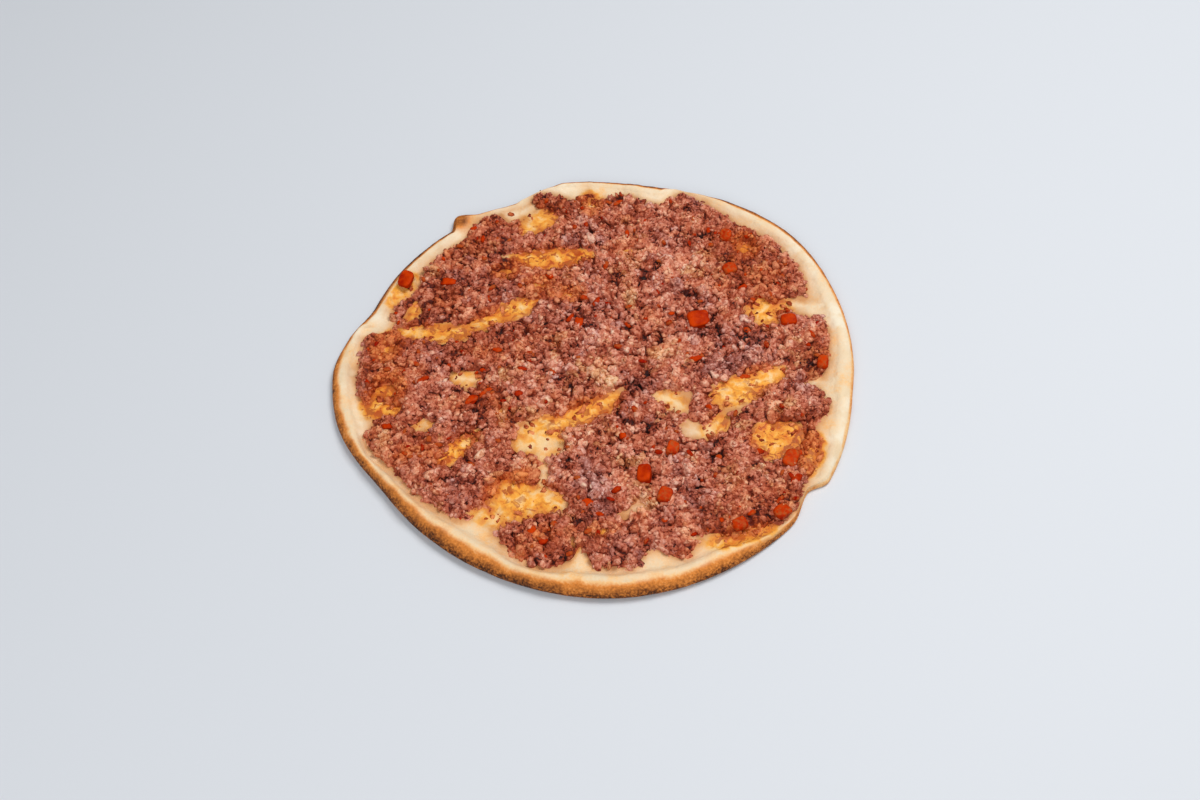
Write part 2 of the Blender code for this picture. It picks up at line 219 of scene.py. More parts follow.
def shell_triangles(rings: int, around: int) -> Array:
    """Triangles of a closed shell: rings of points, then the poles at either end.

    Args:
        rings: Number of rings.
        around: Number of points in each ring.

    Returns:
        Rows of three indices.
    """
    i = np.arange(around)
    j = (i + 1) % around
    base = np.arange(rings - 1)[:, None] * around
    a, b = base + i, base + j
    c, d = a + around, b + around
    sides = np.stack([np.stack([a, c, d], -1), np.stack([a, d, b], -1)]).reshape(-1, 3)
    first, last = rings * around, rings * around + 1
    start = np.stack([np.full(around, first), i, j], -1)
    end = np.stack([np.full(around, last), j + (rings - 1) * around, i + (rings - 1) * around], -1)
    return np.concatenate([sides, start, end])


def unit_ball(around: int, rings: int, power: float = 1) -> tuple[Array, Array]:
    """A unit ball, made squarer by raising each part of each direction to a power below 1.

    Args:
        around: Points in each ring.
        rings: Rings between the poles.
        power: The power.

    Returns:
        Points and triangles.
    """
    across = np.linspace(0, math.pi, rings + 2)[1:-1, None]
    angle = np.linspace(0, TURN, around, endpoint=False)
    x, y = np.sin(across) * np.cos(angle), np.sin(across) * np.sin(angle)
    grid = np.stack([x, y, np.broadcast_to(np.cos(across), x.shape)], -1).reshape(-1, 3)
    ball = np.concatenate([grid, [[0, 0, 1], [0, 0, -1]]])
    ball = np.sign(ball) * np.abs(ball) ** power
    return ball, shell_triangles(rings, around)


def add_object(name: str, data: bpy.types.ID) -> Object:
    """Puts data into the scene as an object at the origin.

    Args:
        name: The object's name.
        data: Its mesh, camera or light.

    Returns:
        The object.
    """
    made = bpy.data.objects.new(name, data)
    bpy.context.scene.collection.objects.link(made)
    return made


def make_piece(name: str, points: Array, triangles: Array, material: Material,
               marks: dict[str, Array]) -> Object:
    """Puts arrays into a mesh object at the origin, shaded smooth.

    Args:
        name: The piece's name.
        points: Rows of x, y, z in metres.
        triangles: Rows of three indices.
        material: The piece's finish.
        marks: Values for each point that the finish reads, by name.

    Returns:
        The new object.
    """
    mesh = bpy.data.meshes.new(name)
    mesh.vertices.add(len(points))
    mesh.vertices.foreach_set("co", points.astype(np.float32).ravel())
    mesh.loops.add(triangles.size)
    mesh.loops.foreach_set("vertex_index", triangles.astype(np.int32).ravel())
    mesh.polygons.add(len(triangles))
    mesh.polygons.foreach_set("loop_start", np.arange(0, triangles.size, 3, dtype=np.int32))
    mesh.update(calc_edges=True)
    for mark, values in marks.items():
        layer = mesh.attributes.new(mark, "FLOAT", "POINT")
        layer.data.foreach_set("value", values.astype(np.float32))
    mesh.shade_smooth()
    mesh.materials.append(material)
    return add_object(name, mesh)


# Tools for finishes

class Recipe:
    """A material's nodes, added a line at a time. Patterns lie on Object coordinates."""

    def __init__(self, name: str) -> None:
        """Starts a material with one Principled shader.

        Args:
            name: The material's name.
        """
        self.material = bpy.data.materials.new(name)
        self.material.use_nodes = True
        self.tree = self.material.node_tree
        self.shader = self.tree.nodes["Principled BSDF"]
        self.coordinates = self.add("TexCoord").outputs["Object"]

    def put(self, socket: Socket, value: Socket | float | tuple[float, ...]) -> None:
        """Links a socket to an output, or sets a plain value on it.

        Args:
            socket: The input.
            value: The output or the value.
        """
        if isinstance(value, Socket):
            self.tree.links.new(value, socket)
        else:
            socket.default_value = (*value, 1) if isinstance(value, tuple) else value

    def fill(self, node: Node, **values: Socket | float | str | Triple) -> None:
        """Sets a node's options, named in small letters, and its inputs, with _ for a space.

        Args:
            node: The node.
            **values: The options and inputs by name.
        """
        for name, value in values.items():
            if name.islower():
                setattr(node, name, value)
            else:
                self.put(node.inputs[name.replace("_", " ")], value)

    def add(self, kind: str, **values: Socket | float | str | Triple) -> Node:
        """Adds a node and fills it.

        Args:
            kind: Its type, without the common beginning.
            **values: Its options and inputs by name.

        Returns:
            The node.
        """
        node = self.tree.nodes.new("ShaderNode" + kind)
        self.fill(node, **values)
        return node

    def mark(self, name: str) -> Socket:
        """A value that the mesh carries at each point."""
        return self.add("Attribute", attribute_name=name).outputs["Fac"]

    def noise(self, size: float, detail: float = 2, twist: float = 0) -> Socket:
        """Noise from 0 to 1 with features of a size in metres, finer layers and a bend."""
        return self.add("TexNoise", Scale=1 / size, Detail=detail, Distortion=twist,
                        Vector=self.coordinates).outputs["Fac"]

    def scale(self, value: Socket, factor: Socket | float, plus: Socket | float = 0) -> Socket:
        """A value times a factor, plus another value.

        Args:
            value: The value.
            factor: The factor.
            plus: What is added.

        Returns:
            The sum.
        """
        node = self.add("Math", operation="MULTIPLY_ADD")
        for socket, part in zip(node.inputs, (value, factor, plus)):
            self.put(socket, part)
        return node.outputs["Value"]

    def step(self, value: Socket, low: float, high: float) -> Socket:
        """A smooth step from 0 at low to 1 at high."""
        return self.add("MapRange", interpolation_type="SMOOTHSTEP", Value=value, From_Min=low,
                        From_Max=high).outputs["Result"]

    def mix(self, share: Socket | float, a: Socket | Triple, b: Socket | Triple) -> Socket:
        """A colour laid over another, by the share of it that shows.

        Args:
            share: How much of the second colour shows.
            a: The first colour.
            b: The second colour.

        Returns:
            The mixed colour.
        """
        node = self.add("Mix", data_type="RGBA")
        for place, value in ((0, share), (6, a), (7, b)):
            self.put(node.inputs[place], value)
        return node.outputs[2]

    def ramp(self, value: Socket, *stops: tuple[float, Triple]) -> Socket:
        """A colour read from a ramp of (place, colour) stops.

        Args:
            value: Where it is read.
            *stops: Places and colours.

        Returns:
            The colour.
        """
        node = self.add("ValToRGB", Fac=value)
        elements = node.color_ramp.elements
        while len(elements) < len(stops):
            elements.new(0.5)
        for element, (place, colour) in zip(elements, stops):
            element.position = place
            element.color = (*colour, 1)
        return node.outputs["Color"]

    def bump(self, height: Socket, depth: float, **below: Socket) -> Socket:
        """Fine relief of a depth in metres, on top of other relief given as Normal."""
        return self.add("Bump", Distance=depth, Height=height, **below).outputs["Normal"]


# The pie's plan

class Soak(Enum):
    """How a place without full meat looks."""

    PALE = 0.10      # dry, floury dough
    STRAW = 0.45     # dough with a little oil
    GOLDEN = 0.75    # dough soaked with yellow oil
    ORANGE = 1.0     # dough stained by red oil


PALE, STRAW, GOLDEN, ORANGE = Soak


@dataclass(frozen=True)
class Patch:
    """An oval place on the plan: middle, length and width in millimetres, turn in degrees."""

    x: float
    y: float
    length: float
    width: float
    turn: float = 0
    soak: Soak = GOLDEN

    def own_frame(self, points: Array) -> Array:
        """Each point as shares of the patch's half length and half width, in its own axes.

        Args:
            points: Points on the plan, in metres.

        Returns:
            Rows of two shares.
        """
        c, s = math.cos(math.radians(self.turn)), math.sin(math.radians(self.turn))
        d = points / MM - (self.x, self.y)
        return np.stack([(d[:, 0] * c + d[:, 1] * s) * 2 / self.length,
                         (d[:, 1] * c - d[:, 0] * s) * 2 / self.width], axis=1)

    def distance(self, points: Array, wobble: float) -> Array:
        """Distance in millimetres from the outline, below 0 inside.

        It is the oval's implicit value over the length of its gradient. The outline goes in and
        out as sin 3a and sin 5a, a being the angle in the patch's own axes.

        Args:
            points: Points on the plan, in metres.
            wobble: Share of the size by which the outline goes in and out.

        Returns:
            One distance for each point.
        """
        q = self.own_frame(points)
        a = np.arctan2(q[:, 1], q[:, 0])
        phase = self.x + self.y
        size = np.maximum(np.hypot(q[:, 0], q[:, 1]), 1e-6)
        edge = 1 + wobble * (np.sin(3 * a + phase) + 0.6 * np.sin(5 * a - phase))
        slope = np.hypot(q[:, 0] * 2 / self.length, q[:, 1] * 2 / self.width) / size
        return (size - edge) / slope

    def share(self, points: Array) -> Array:
        """How strongly a soft spot of this size covers each point: exp of minus distance squared."""
        return np.exp(-(self.own_frame(points) ** 2).sum(axis=1))


Patches = tuple[Patch, ...]


def patches(*rows: tuple) -> Patches:
    """Patches from rows of their values."""
    return tuple(Patch(*row) for row in rows)


def spread(reach: Array, angle: Array) -> Array:
    """Points on the plan in metres, from reaches in millimetres and angles in radians."""
    return np.stack([reach * np.cos(angle), reach * np.sin(angle)], -1).reshape(-1, 2) * MM


def within(outline: Callable[[Array], Array], points: Array) -> Array:
    """How far each point on the plan is inside an outline, in millimetres."""
    reach = outline(np.arctan2(points[:, 1], points[:, 0]))
    return reach - np.hypot(points[:, 0], points[:, 1]) / MM


def strongest(spots: Patches, points: Array) -> Array:
    """How strongly the nearest of some soft spots covers each point, from 0 to 1."""
    return np.max([spot.share(points) for spot in spots], axis=0)


@dataclass(frozen=True)
class Plan:
    """What lies where on the pie. Reaches are in millimetres from the plan's middle."""

    pan_top: float = 4.0
    edge_lift: float = 3.4
    least_rim: float = 1.2
    foot_clearance: float = 0.8
    least_foot: float = 1.5
    full_rise_room: float = 6.0
    patch_wobble: float = 0.14
    ragged: float = 3.7
    crumbly: float = 1.4
    thin_edge: float = 9.0
    thin_gaps: float = 1.3
    crumb_room: Pair = (5.0, 9.0)
    bread_reach: Curve = Curve(
        (0, 122.5), (20, 126), (38, 129), (55, 126), (66, 122), (80, 120.5), (95, 121),
        (101, 118.5), (110, 114), (119, 116), (124, 121), (128, 114.5), (145, 115), (158, 114.5),
        (168, 120), (178, 124), (190, 123), (215, 115), (245, 116.5), (280, 120.5), (314, 121),
        (323, 116.5), (328, 122), (350, 121))
    rim_width: Curve = Curve(
        (0, 11), (45, 10), (70, 9), (100, 5), (118, 7), (150, 9), (180, 10), (205, 11), (230, 13),
        (250, 13), (275, 12), (300, 11), (314, 6), (323, 4), (332, 8), (345, 11))
    rim_rise: Curve = Curve(
        (0, 1.4), (45, 1.3), (90, 1.0), (110, 0.8), (150, 1.2), (180, 2.2), (205, 3.4), (235, 4.2),
        (265, 4.2), (290, 3.6), (305, 2.4), (318, 0.6), (335, 0.9))
    raw_meat_reach: Curve = Curve(
        (0, 110), (10, 114), (20, 112), (26, 116), (36, 118), (50, 115), (66, 119), (71, 107.5),
        (80, 111), (87, 108), (90, 113), (93, 107.5), (103, 115.5), (108, 107), (120, 110.5),
        (128, 104), (140, 105), (150, 100), (157, 105), (162, 101), (165, 101.5), (168, 112.5),
        (181, 112.5), (194, 107), (199, 112), (208, 107.5), (232, 101), (237, 93), (243, 100),
        (256, 108), (262, 104), (265, 96), (268, 105), (277, 107.5), (283, 100.5), (289, 109),
        (297, 103.5), (303, 111), (317, 118), (325, 114), (335, 112.5), (339.5, 107), (346, 111),
        (352, 105.5))
    bare: Patches = patches(
        (-19, 69, 40, 12, 0, ORANGE), (-76, 25, 36, 10, -2), (-43, 35, 38, 11, 27),
        (-26, 93, 22, 13, 32), (-36, 100, 18, 10, 15, PALE), (-27, -38, 22, 25, 0, STRAW),
        (-6, -25, 38, 11, 27, ORANGE), (-25, -57, 7, 14, 0, PALE), (-34, -71, 34, 20),
        (-49, -79, 18, 9, -25, STRAW), (71, -13, 40, 15, 24), (35, -19, 17, 11, -32, STRAW),
        (45, -37, 14, 9, -20, PALE), (54, -35, 14, 8, 40), (82, -43, 24, 19, 12, ORANGE),
        (82, 30, 15, 17, 25), (105, 33, 25, 12, -3, PALE), (91, 33, 8, 7, 0, ORANGE),
        (-61, -3, 14, 8, -8, STRAW), (-64, -42, 24, 8, 40, ORANGE), (-80, -29, 10, 6, 20, STRAW),
        (104, -12, 10, 7, 0, PALE), (-87, 38, 4, 12, -20), (-100, -18, 17, 11, -15, ORANGE))
    thin: Patches = patches(
        (-99, 16, 15, 18, 0, ORANGE), (-97, -8, 17, 16, 0, ORANGE), (-42, 60, 14, 9),
        (20, 72, 26, 9, 0, STRAW), (-26, 52, 16, 9, 10), (-12, 45, 18, 9), (1, 103, 12, 18),
        (-44, -24, 4, 26, 5, STRAW), (-12, -92, 7, 12, 0, STRAW), (15, -78, 24, 8, 25, PALE),
        (96, -52, 10, 22, -20, ORANGE), (62, -93, 30, 9, 18, ORANGE), (2, -88, 14, 7, 10),
        (77, 71, 12, 16, 30, ORANGE), (-93, 52, 7, 22, -30), (-40, -62, 20, 7, 25, ORANGE),
        (40, -93, 12, 8, 0, PALE))
    # Spots of painted shade where the mince has deep holes.
    hole_shade: Patches = patches(
        (46, 41, 9, 5), (27, 53, 5, 8), (14, 54, 7, 6), (31, 13, 5, 5), (33, 60, 5, 6), (16, 22, 5, 4),
        (50, 95, 5, 4), (-13, -52, 4, 6), (25, -36, 6, 5))
    fatty: Patches = patches(
        (15, -78, 24, 9, 25), (-44, -24, 6, 26, 5), (8, 18, 14, 10), (33, 6, 14, 10, 20),
        (46, 58, 22, 12), (-36, 4, 20, 7, -20), (5, -9, 12, 14), (42, -14, 14, 12), (66, 38, 18, 8, 10),
        (40, -92, 14, 10), (-68, -48, 12, 5, 20), (88, -26, 12, 10))
    rosy: Patches = patches(
        (-60, 82, 50, 34, 30), (-100, -5, 30, 80), (-74, 42, 50, 22, 20), (62, -88, 70, 26, 15),
        (95, -50, 26, 60, -10), (72, 72, 44, 30, -40), (-10, 100, 70, 24), (-80, -44, 34, 24, -40),
        (-20, -92, 60, 24, 10), (-52, -18, 26, 22), (80, 50, 40, 30), (-50, 14, 40, 26),
        (106, 4, 18, 26))
    scorched: Patches = patches(
        (-68, 97, 15, 12), (-60, 101, 14, 4, 8))

    def middle(self) -> Array:
        """Middle of the box round the bread's outline, in metres: the pie's origin on the plan.

        Returns:
            Its x and y.
        """
        angle = np.linspace(0, TURN, 150, endpoint=False)
        outline = spread(self.bread_reach(angle), angle)
        return (outline.min(axis=0) + outline.max(axis=0)) / 2

    def meat_reach(self, angle: Array) -> Array:
        """The meat's outline, kept inside the bread's, in millimetres."""
        return np.minimum(self.raw_meat_reach(angle), self.bread_reach(angle) - self.least_rim)

    def cover(self, points: Array, noise: Noise) -> Array:
        """How far each point is inside the meat, in millimetres, with a ragged outline.

        It is the smallest of the distances to the outline and to the bare patches, plus noise.

        Args:
            points: Points on the plan, in metres.
            noise: What makes the outline ragged.

        Returns:
            One distance for each point, below 0 on bare bread.
        """
        inside = self.thin_edge * (1 - strongest(self.thin, points)) - self.thin_gaps
        for patch in self.bare:
            inside = np.minimum(inside, patch.distance(points, self.patch_wobble))
        wander = noise.at(points, 9 * MM, 3)
        crumble = self.crumbly * noise.at(points + 3, 2.6 * MM)
        outer = within(self.meat_reach, points) + 1.4 * wander
        return np.minimum(inside + self.ragged * wander, outer) + crumble

    def soaked(self, points: Array, noise: Noise) -> Array:
        """How much oil the bread or meat has taken up at each point, from 0 to 1.

        Each patch counts by its own soak, falling off outside its outline. Noise breaks the
        edges up, and near the meat there is more.

        Args:
            points: Points on the plan, in metres.
            noise: What breaks the edges up.

        Returns:
            One value for each point.
        """
        total = np.zeros(len(points))
        weight = np.full(len(points), 1e-3)
        for patch in self.bare + self.thin:
            near = np.exp(-np.maximum(patch.distance(points, 0), 0) / 4)
            total += near ** 2 * patch.soak.value
            weight += near ** 2
        soak = total / weight * np.clip(weight, 0, 1)
        seep = np.exp(np.minimum(self.cover(points, noise), 0) / 1.9)
        return np.clip(soak * (0.60 + 0.6 * seep + 0.45 * noise.at(points, 6 * MM, 3)), 0, 1)


PLAN = Plan()
MIDDLE = PLAN.middle()


def placed(points: Array) -> Array:
    """Points of the plan moved so that the pie's origin is at zero; heights stay."""
    return points - (*MIDDLE, 0)


# Finishes

@dataclass(frozen=True)
class DoughFinish:
    """Baked dough: cream where pale, golden to brown where toasted, yellow to orange with oil."""

    cream: Triple = (0.87, 0.69, 0.46)
    straw: Triple = (0.95, 0.57, 0.25)
    golden: Triple = (0.78, 0.26, 0.045)
    brown: Triple = (0.28, 0.080, 0.014)
    char: Triple = (0.075, 0.024, 0.008)
    floury_white: Triple = (0.93, 0.84, 0.66)
    # Beside the meat: stain from its juices, partly painted shade along the meat's edge and below the
    # crest.
    juice_and_shade: Triple = (0.58, 0.28, 0.115)
    oily_juice_and_shade: Triple = (0.60, 0.17, 0.022)
    oil_pale: Triple = (0.96, 0.66, 0.31)
    oil_yellow: Triple = (0.97, 0.45, 0.060)
    oil_orange: Triple = (0.80, 0.22, 0.02)
    oil_red: Triple = (0.48, 0.07, 0.008)
    freckle: Triple = (0.44, 0.095, 0.014)

    def make(self) -> Material:
        """The crust's material, which reads the marks toast, speck, oil, juice_and_shade and floury;
        juice_and_shade is a stain from the meat's juices together with painted shade beside the meat.

        Returns:
            The material.
        """
        r = Recipe("baked_dough")
        mottle = r.noise(6 * MM, 4)
        fine = r.noise(1.0 * MM, 3)
        speck = r.mark("speck")
        toast = r.scale(mottle, 0.70, r.scale(r.mark("toast"), 1, -0.35))
        toast = r.scale(r.scale(fine, 1, -0.5), r.scale(speck, 1.3, 0.35), toast)
        colour = r.ramp(toast, (0.0, self.cream), (0.22, self.straw), (0.52, self.golden),
                        (0.84, self.brown), (1.0, self.char))
        floury = r.scale(r.mark("floury"), r.step(mottle, 0.32, 0.58))
        colour = r.mix(floury, colour, self.floury_white)
        oil = r.mark("oil")
        stain = r.scale(r.noise(4.5 * MM, 3, 0.5), 2.1, r.scale(oil, 1, -1.06))
        oily = r.ramp(stain, (0.10, self.oil_pale), (0.50, self.oil_yellow), (0.90, self.oil_orange),
                      (1.0, self.oil_red))
        colour = r.mix(r.step(oil, 0.08, 0.40), colour, oily)
        freckles = r.scale(r.step(r.noise(2.9 * MM, 3, 0.8), 0.53, 0.58), r.step(oil, 0.30, 0.70))
        colour = r.mix(freckles, colour, self.freckle)
        # Painted shade with stain from the meat's juices: the bread beside the meat turns beige.
        colour = r.mix(r.mark("juice_and_shade"), colour, r.mix(oil, self.juice_and_shade, self.oily_juice_and_shade))
        specks = r.scale(speck, r.step(r.noise(1.3 * MM), 0.63, 0.70))
        relief = r.bump(r.noise(3.2 * MM, 3), 0.5 * MM, Normal=r.bump(fine, 0.2 * MM))
        r.fill(r.shader, Base_Color=r.mix(specks, colour, self.char), Normal=relief,
               Roughness=r.scale(oil, -0.38, 0.78), Specular_IOR_Level=0.22)
        return r.material


@dataclass(frozen=True)
class MinceFinish:
    """Cooked mince: rosy, mauve or tan brown, paler where there is fat, oranger where it is oily."""

    # Near black, the darkest stop: painted shade in holes and crevices.
    hole_shade: Triple = (0.020, 0.009, 0.009)
    deep: Triple = (0.10, 0.010, 0.005)
    brown: Triple = (0.36, 0.066, 0.031)
    rosy: Triple = (0.64, 0.215, 0.135)
    pale: Triple = (0.84, 0.42, 0.30)
    fat: Triple = (0.94, 0.66, 0.49)
    mauve_brown: Triple = (0.29, 0.070, 0.047)
    mauve: Triple = (0.49, 0.205, 0.170)
    mauve_pale: Triple = (0.74, 0.43, 0.38)
    tan_brown: Triple = (0.38, 0.100, 0.030)
    tan: Triple = (0.66, 0.30, 0.135)
    tan_pale: Triple = (0.87, 0.54, 0.31)
    oiled_deep: Triple = (0.13, 0.012, 0.003)
    oiled: Triple = (0.46, 0.073, 0.015)
    oiled_light: Triple = (0.88, 0.30, 0.095)
    roughness: float = 0.50

    def make(self) -> Material:
        """The mince's material, which reads the marks tone, hue and oil.

        Returns:
            The material.
        """
        r = Recipe("cooked_mince")
        fine = r.noise(1.1 * MM, 3)
        blotch = r.noise(3.0 * MM, 3, 0.8)
        tone = r.scale(fine, 0.7, r.scale(r.mark("tone"), 1, -0.35))
        tone = r.scale(blotch, 1.1, r.scale(tone, 1, -0.55))
        tone = r.scale(r.step(r.noise(2.2 * MM, 2, 1.2), 0.42, 0.30), -0.34, tone)
        plain, warm, cool = (
            r.ramp(tone, (0.0, self.hole_shade), (0.10, self.deep), (0.30, dark), (0.55, middling),
                   (0.78, light), (1.0, self.fat))
            for dark, middling, light in ((self.brown, self.rosy, self.pale),
                                          (self.tan_brown, self.tan, self.tan_pale),
                                          (self.mauve_brown, self.mauve, self.mauve_pale)))
        hue = r.mark("hue")
        colour = r.mix(r.step(hue, 0.55, 0.85), plain, warm)
        colour = r.mix(r.step(hue, 0.45, 0.15), colour, cool)
        oily = r.ramp(tone, (0.05, self.oiled_deep), (0.42, self.oiled), (0.90, self.oiled_light))
        r.fill(r.shader, Base_Color=r.mix(r.mark("oil"), colour, oily), Roughness=self.roughness,
               Normal=r.bump(blotch, 0.5 * MM, Normal=r.bump(fine, 0.3 * MM)),
               Specular_IOR_Level=0.13)
        return r.material


@dataclass(frozen=True)
class TomatoFinish:
    """Cooked tomato: red skin, lighter flesh showing through, and brown gravy on some pieces."""

    skin: Triple = (0.30, 0.004, 0.0005)
    flesh: Triple = (0.62, 0.048, 0.001)
    gravy: Triple = (0.46, 0.085, 0.018)
    roughness: float = 0.42

    def make(self) -> Material:
        """The tomato's material, which reads the marks tone, for how light it is, and gravy.

        Returns:
            The material.
        """
        r = Recipe("cooked_tomato")
        cloud = r.scale(r.noise(2.8 * MM, 3, 0.4), 1.2, r.scale(r.mark("tone"), 1, -0.6))
        colour = r.ramp(cloud, (0.0, self.skin), (0.85, self.flesh))
        smear = r.scale(r.noise(1.6 * MM, 3), 2.0, r.scale(r.mark("gravy"), 1, -1.0))
        r.fill(r.shader, Base_Color=r.mix(r.step(smear, 0.20, 0.70), colour, self.gravy),
               Roughness=self.roughness, Normal=r.bump(r.noise(0.9 * MM), 0.25 * MM),
               Specular_IOR_Level=0.03)
        return r.material


# Pieces

def make_shell(name: str, points: Array, poles: Pair, around: int,
               material: Material, marks: dict[str, Array]) -> Object:
    """Closes rings of points into a shell with a pole at either end.

    Args:
        name: The piece's name.
        points: The rings' points, in metres on the plan.
        poles: Heights of the first and the last pole, in metres.
        around: Number of points in each ring.
        material: The piece's finish.
        marks: Values for each ring point, by name. The poles take the first and the last.

    Returns:
        The piece.
    """
    ends = [[0, 0, height] for height in poles]
    marks = {mark: np.concatenate([value, value[:1], value[-1:]]) for mark, value in marks.items()}
    return make_piece(name, placed(np.concatenate([points, ends])),
                      shell_triangles(len(points) // around, around), material, marks)


def make_batch(name: str, points: Array, triangles: Array, material: Material,
               marks: dict[str, Array]) -> Object:
    """Joins many balls into one piece.

    Args:
        name: The piece's name.
        points: Each ball's points, in metres on the plan.
        triangles: One ball's triangles.
        material: The piece's finish.
        marks: Values for each ball as a column, or for each of its points, by name.

    Returns:
        The piece.
    """
    count, each = points.shape[:2]
    marks = {mark: np.broadcast_to(value, (count, each)).ravel() for mark, value in marks.items()}
    steps = np.arange(count)[:, None, None] * each
    return make_piece(name, placed(points.reshape(-1, 3)), (triangles + steps).reshape(-1, 3),
                      material, marks)


@dataclass
class Crust:
    """The flatbread as one closed shell: pan, raised rim, rounded edge and underside."""

    around: int = 720
    pan_rings: int = 56
    rim_rings: int = 44
    under_rings: int = 12
    rim_profile: tuple[Pair, ...] = (
        (1.00, 0.00), (0.84, 0.30), (0.70, 0.78), (0.55, 1.00), (0.38, 0.92))
    outer_profile: tuple[Pair, ...] = (
        (0.20, 0.84), (0.07, 0.62), (0.00, 0.40), (0.04, 0.18))
    browning: Curve = Curve(
        (0, 0.50), (20, 0.62), (38, 0.85), (60, 1.0), (90, 1.0), (125, 1.0), (150, 0.95), (180, 0.92),
        (205, 0.94), (235, 1.0), (270, 1.0), (295, 0.86), (312, 0.74), (322, 0.38), (335, 0.38))
    flour: Curve = Curve(
        (0, 1.0), (60, 0.8), (120, 0.8), (170, 1.0), (200, 0.7), (230, 0.25), (275, 0.4), (310, 0.7),
        (330, 1.0))
    brown_from: Curve = Curve(
        (0, 0.32), (20, 0.24), (38, 0.12), (60, 0.05), (90, 0.03), (125, 0.04), (150, 0.07), (180, 0.02),
        (200, -0.04), (225, -0.08), (245, -0.04), (260, 0.0), (285, 0.0), (300, -0.05), (310, -0.15),
        (322, 0.2), (335, 0.32))
    brown_over: Curve = Curve(
        (0, 0.40), (38, 0.32), (90, 0.30), (150, 0.35), (180, 0.9), (205, 1.0), (300, 1.0), (318, 0.7),
        (335, 0.45))
    speckles: Curve = Curve(
        (0, 0.3), (60, 0.5), (100, 0.7), (150, 0.7), (180, 0.8), (205, 0.9), (240, 0.9),
        (280, 1.0), (300, 1.0), (316, 0.6), (330, 0.1))
    waves: float = 0.25
    noise: Noise = Noise(11)

    def rim(self, angle: Array) -> tuple[Array, Array]:
        """The rim's cross-section all round, in millimetres.

        Shares of the rim's width and of its crest's height are set out at each angle, and a
        smooth curve is carried through them.

        Args:
            angle: Angles round the plan, in radians.

        Returns:
            Reach and height, each as rings by angles.
        """
        reach = PLAN.bread_reach(angle)
        step = math.radians(2.4)
        near = np.max([PLAN.meat_reach(angle + k * step) for k in (-1, -0.5, 0, 0.5, 1)], axis=0)
        spare = reach - near - PLAN.foot_clearance
        width = np.clip(spare, PLAN.least_foot, PLAN.rim_width(angle))
        room = np.clip((spare - PLAN.least_foot) / PLAN.full_rise_room, 0, 1)
        waves = self.waves * self.noise.at(spread(reach, angle), 11 * MM)
        rise = PLAN.rim_rise(angle) * room * (1 + waves)
        crest = PLAN.pan_top + rise
        out = [share * width for share, _ in self.rim_profile + self.outer_profile]
        up = [PLAN.pan_top + part * rise for _, part in self.rim_profile]
        up += [part * crest for _, part in self.outer_profile]
        out.append(np.full_like(reach, PLAN.edge_lift))
        up.append(np.zeros_like(reach))
        weights = spline_weights(len(out), self.rim_rings)
        return reach - weights @ np.array(out), np.maximum(weights @ np.array(up), 0)

    def relief(self, points: Array) -> Array:
        """How far the baked surface swells at each point, in millimetres, from layers of noise.

        Args:
            points: Points in metres.

        Returns:
            One height for each point.
        """
        wide = self.noise.at(points, 16 * MM)
        bubbles = np.maximum(self.noise.at(points, 5 * MM), 0)
        creases = 1 - np.abs(self.noise.at(points, 9 * MM, 3))
        return 0.35 * wide + 0.8 * bubbles + 0.25 * creases ** 4

    def surface(self, flat: Array) -> Array:
        """Height of the pan's baked surface at points on the plan, in millimetres."""
        level = np.full(len(flat), PLAN.pan_top * MM)
        return PLAN.pan_top + self.relief(np.column_stack([flat, level]))

    def build(self, material: Material) -> Object:
        """Makes the shell and the marks that its finish reads.

        Args:
            material: The dough's finish.

        Returns:
            The crust.
        """
        angle = np.linspace(0, TURN, self.around, endpoint=False)
        rim_reach, rim_height = self.rim(angle)
        inwards = np.linspace(0.02, 1, self.pan_rings, endpoint=False)[:, None]
        outwards = np.linspace(1, 0.04, self.under_rings + 1)[1:, None]
        reach = np.concatenate([inwards * rim_reach[0], rim_reach, outwards * rim_reach[-1]])
        height = np.concatenate([np.full((self.pan_rings, self.around), PLAN.pan_top), rim_height,
                                 np.zeros((self.under_rings, self.around))])
        ring = np.broadcast_to(np.arange(len(reach))[:, None], reach.shape).ravel()
        turn = np.broadcast_to(angle, reach.shape).ravel()
        flat = spread(reach, angle)
        points = np.column_stack([flat, height.ravel() * MM])

        crest = self.pan_rings + 0.36 * self.rim_rings
        foot = self.pan_rings + self.rim_rings - 1
        slope = np.minimum((ring - crest) / (foot - crest), 1)
        below = ring > foot - 3
        swell = self.relief(points) * np.where(below, 0, 1 - 0.6 * np.maximum(slope, 0))
        points[:, 2] += swell * MM
        highest = CAD_BOX[1].z - 1.2 * MM
        points[:, 2] = np.clip(points[:, 2], 0, highest)

        patchy = self.noise.at(points, 8 * MM, 3)
        start, over = self.brown_from(turn), self.brown_over(turn)
        outer = slope + 0.12 * over * patchy
        golden = ease(start, start + 0.28 * over, outer)
        darkest = ease(start + 0.24 * over, start + 0.70 * over, outer)
        outside = np.minimum(PLAN.cover(flat, self.noise), 0)
        toast = self.browning(turn) * (0.54 * golden + 0.30 * darkest)
        toast += 0.09 * self.noise.at(points, 18 * MM) + 0.05 + 0.12 * np.exp(outside / 3)
        toast += 0.08 * (1 - self.flour(turn)) * (1 - golden)
        burnt = np.minimum(1.6 * strongest(PLAN.scorched, flat), 1)
        toast += burnt * (0.80 - toast)
        spots = ease(0.05, 0.5, self.noise.at(points, 14 * MM, 3))
        toast = np.where(ring > foot, 0.20 + 0.50 * spots, toast)
        speck = self.speckles(turn) * (0.1 * golden + 0.7 * darkest) * np.where(ring > foot, 0.5, 1)
        on_top = slope < 0.35
        oil = np.where(on_top, PLAN.soaked(flat, self.noise), 0)
